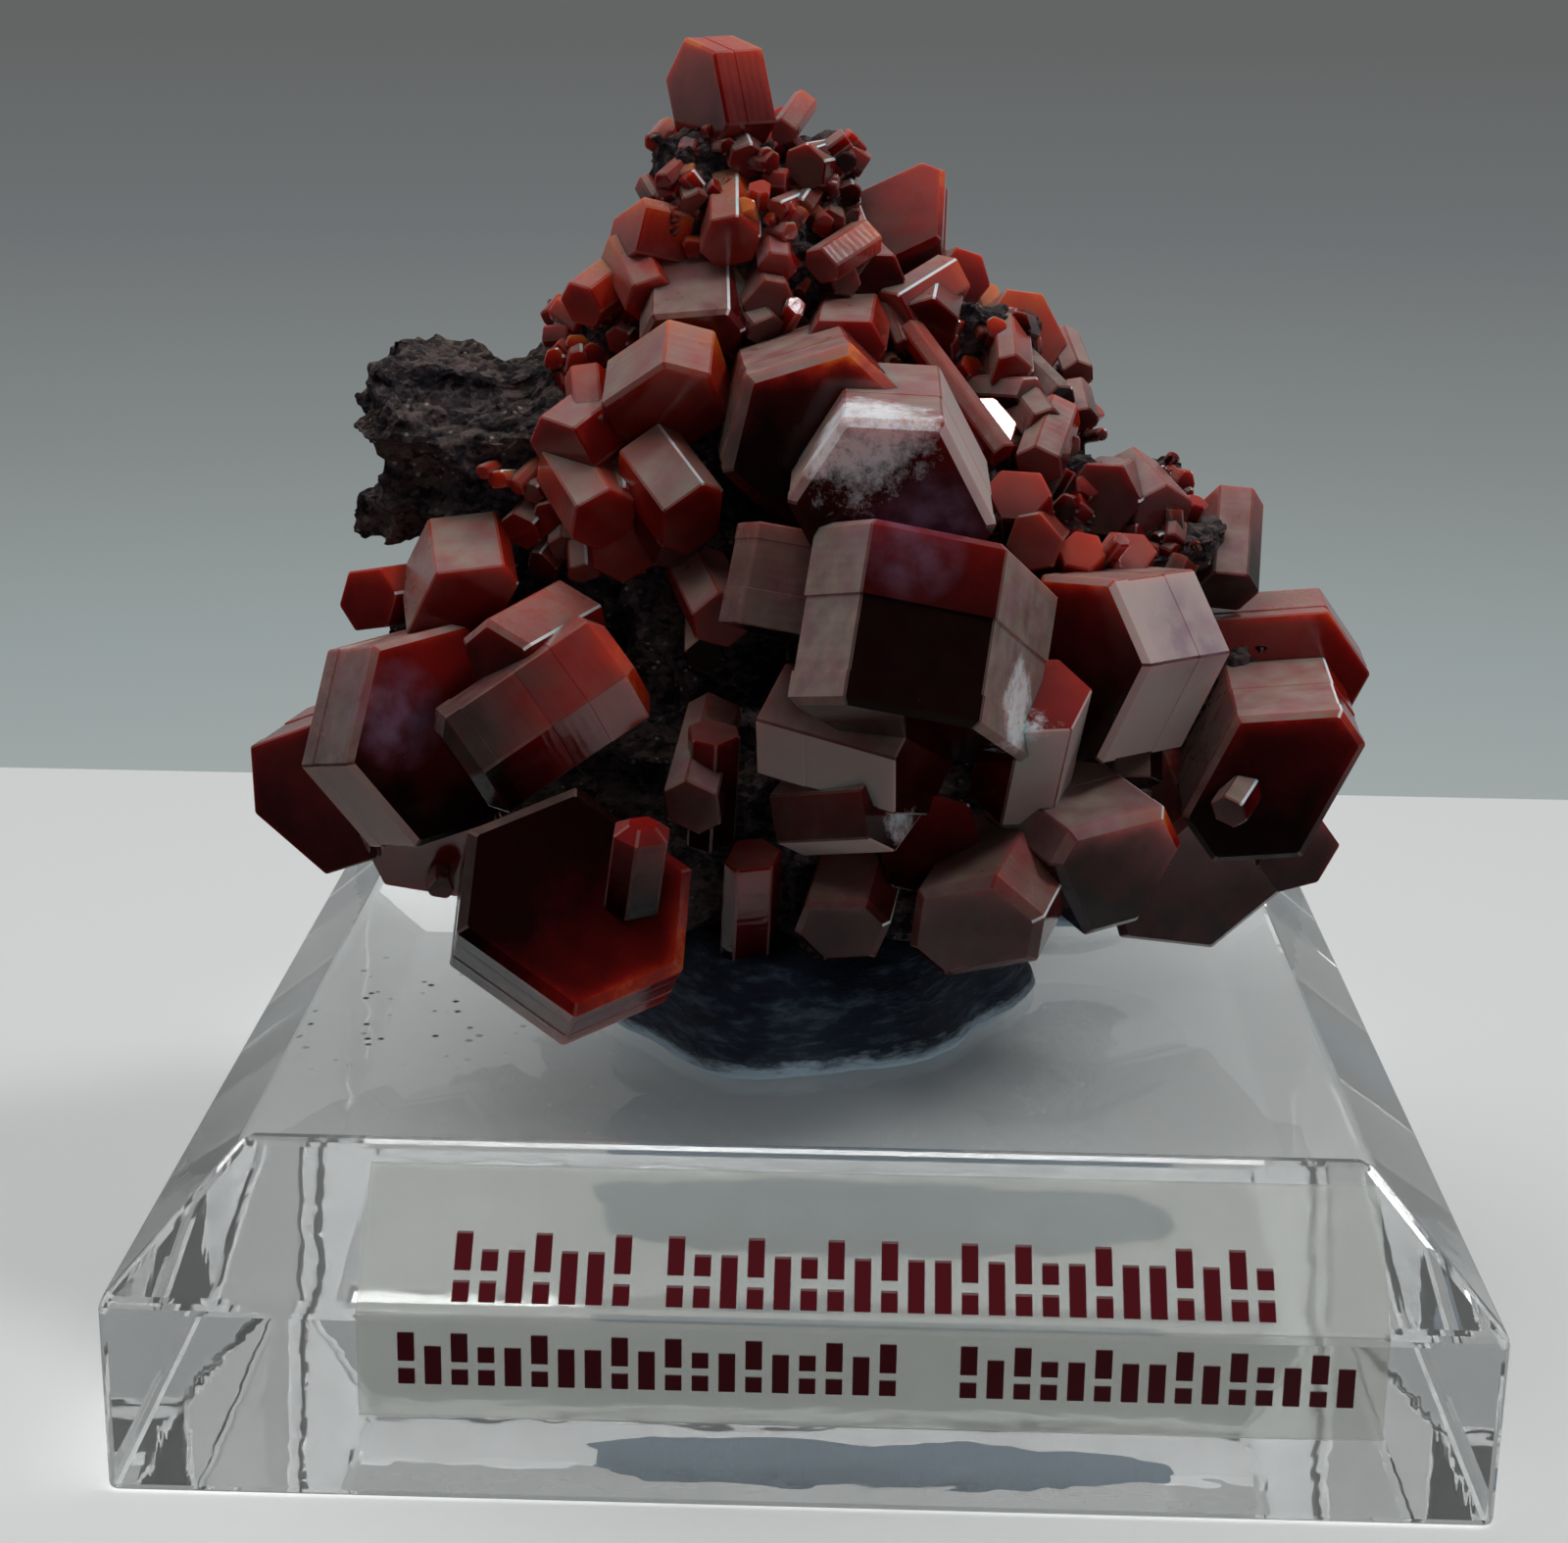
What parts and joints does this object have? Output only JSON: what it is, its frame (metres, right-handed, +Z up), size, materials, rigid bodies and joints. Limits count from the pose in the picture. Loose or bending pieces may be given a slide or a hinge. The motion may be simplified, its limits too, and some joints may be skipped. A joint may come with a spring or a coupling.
{
  "type": "vanadinite crystal specimen on a display base",
  "caption": "Cluster of hexagonal vanadinite crystals on dark rock, fixed with putty to a square, bevelled clear block that rests flat.",
  "frame": {"origin": "centre of the block's flat underside", "axes": "+Z up out of the block's top face; -Y to the front, where the label film is; +X to the right seen from the front"},
  "size_m": [0.05, 0.0506, 0.0506],
  "materials": {
    "acrylic": "clear, polished, lightly dusty",
    "film": "translucent matt film",
    "putty": "dull, kneaded",
    "rock": "rough natural rock",
    "vanadinite": "glossy to resinous natural crystal"
  },
  "bodies": {
    "root": {"acrylic_block": "acrylic", "label_film": "film", "mounting_putty": "putty", "matrix": "rock", "crystals_centre": "vanadinite", "crystals_right": "vanadinite", "crystals_far_right": "vanadinite", "crystals_foot": "vanadinite", "crystals_low_front": "vanadinite", "crystals_ember": "vanadinite", "crystals_left": "vanadinite", "crystals_left_back": "vanadinite", "crystals_upper_left": "vanadinite", "crystals_top": "vanadinite", "crystal_summit": "vanadinite", "crystal_upper_right": "vanadinite"}
  },
  "joints": []
}
